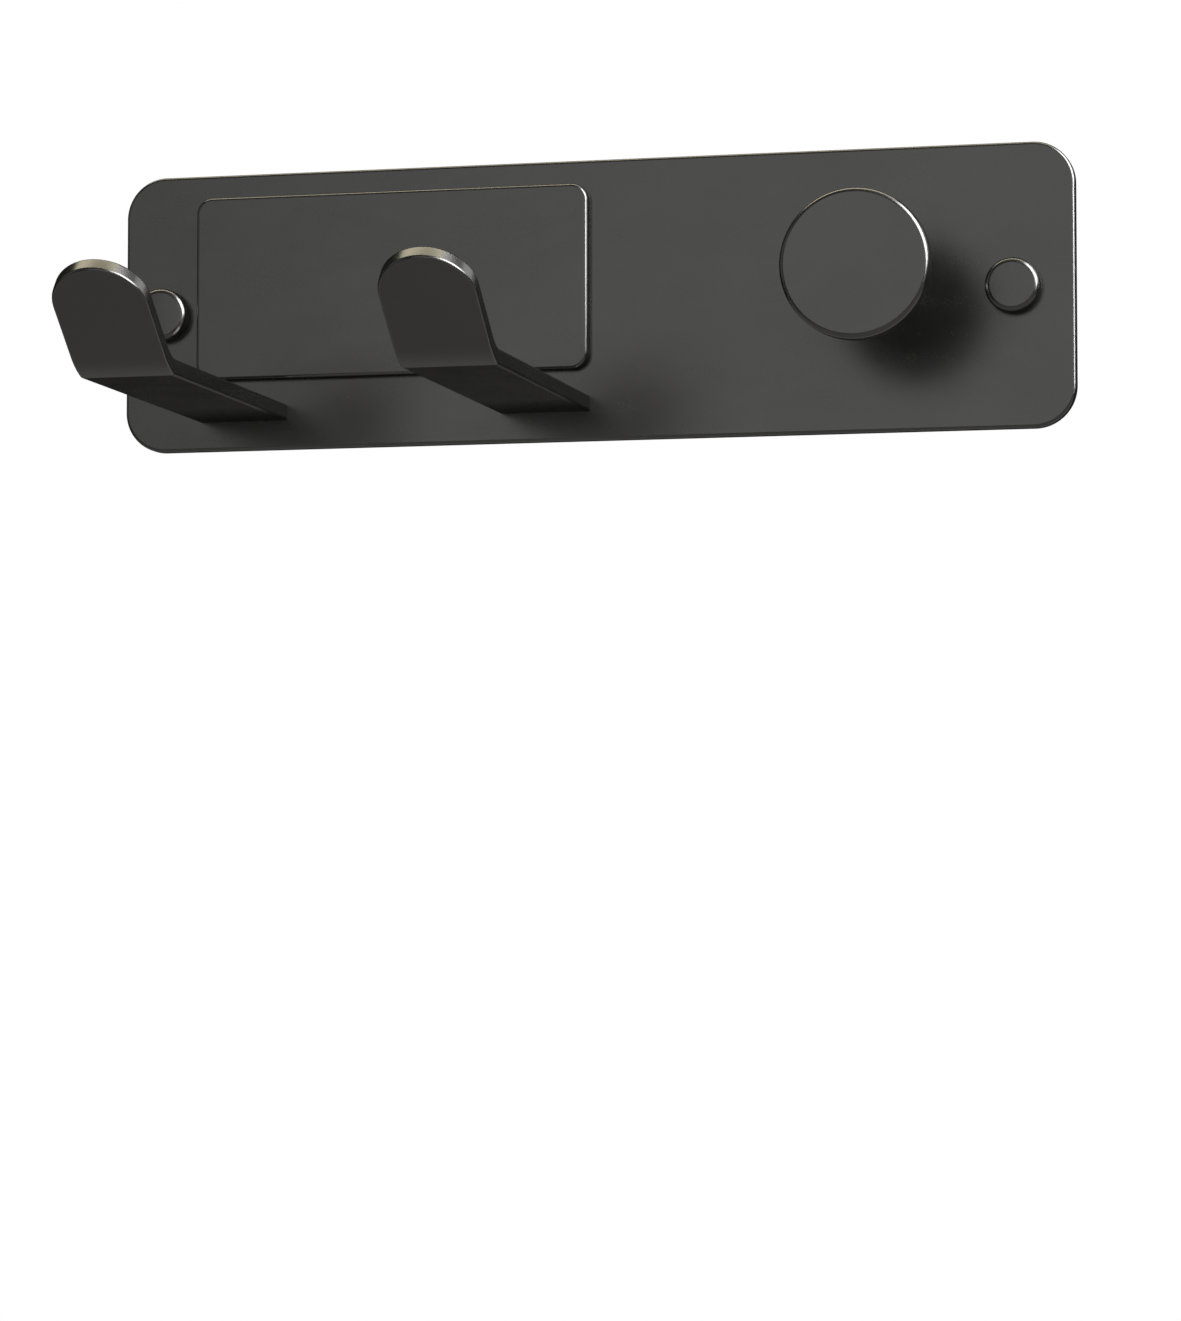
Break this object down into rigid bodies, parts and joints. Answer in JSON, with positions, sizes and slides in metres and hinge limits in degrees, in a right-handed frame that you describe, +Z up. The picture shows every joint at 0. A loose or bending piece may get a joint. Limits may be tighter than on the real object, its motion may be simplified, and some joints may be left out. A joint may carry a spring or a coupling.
{
  "type": "hair dryer holder",
  "caption": "Wall-mounted hair dryer holder: a plate with two bent support arms, a raised rest panel and a cord post with a round knob.",
  "frame": {"origin": "centre of the back plate's wall face", "axes": "+X runs to the right along the plate as seen from the room, +Y points into the wall, +Z is up"},
  "size_m": [0.235, 0.1473, 0.068],
  "materials": {
    "black_coat": "satin",
    "black_steel": "black oxide",
    "zinc_steel": "zinc plated",
    "grey_nylon": "matt",
    "adhesive_film": "soft"
  },
  "bodies": {
    "holder": {"back_plate": "black_coat", "left_arm": "black_coat", "right_arm": "black_coat", "left_arm_screw_outer": "black_steel", "left_arm_screw_inner": "black_steel", "right_arm_screw_inner": "black_steel", "right_arm_screw_outer": "black_steel", "rest_panel": "black_coat", "rest_panel_tape": "adhesive_film", "cord_post": "black_coat", "cord_knob": "black_coat", "cord_knob_stud": "zinc_steel", "cord_post_screw": "black_steel", "left_cap_base": "zinc_steel", "left_wall_screw": "zinc_steel", "left_wall_plug": "grey_nylon", "right_cap_base": "zinc_steel", "right_wall_screw": "zinc_steel", "right_wall_plug": "grey_nylon"},
    "left_cap": {"left_screw_cap": "black_coat"},
    "right_cap": {"right_screw_cap": "black_coat"}
  },
  "joints": [
    {"name": "left_cap_pull", "type": "slide", "parent": "holder", "child": "left_cap", "axis": [0, -1, 0], "range_m": [0, 0.015]},
    {"name": "right_cap_pull", "type": "slide", "parent": "holder", "child": "right_cap", "axis": [0, -1, 0], "range_m": [0, 0.015]}
  ]
}
